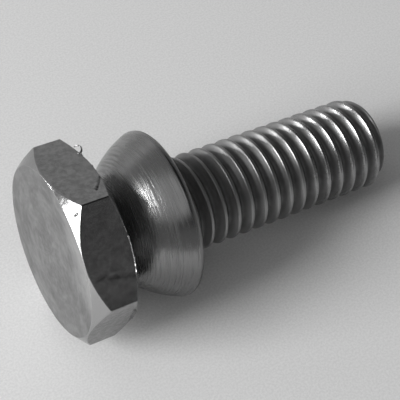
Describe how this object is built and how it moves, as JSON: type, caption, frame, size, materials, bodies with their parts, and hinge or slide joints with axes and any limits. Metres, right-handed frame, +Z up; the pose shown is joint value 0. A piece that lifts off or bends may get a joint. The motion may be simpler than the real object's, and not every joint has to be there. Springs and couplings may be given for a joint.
{
  "type": "shear bolt",
  "caption": "Shear bolt: hexagon head that twists off at a thin neck, domed collar with a flat bearing face, and a coarse right-hand threaded shank.",
  "frame": {"origin": "on the floor, under the middle of the bolt as it lies at rest", "axes": "+X from the head towards the tip of the thread, +Z up; the bolt's own axis leans tip down in the XZ plane"},
  "size_m": [0.0306, 0.0156, 0.0158],
  "materials": {
    "steel": "bare steel, turned on the head and collar and rolled on the thread, satin with bright crests"
  },
  "bodies": {
    "root": {"shear_bolt": "steel"}
  },
  "joints": []
}
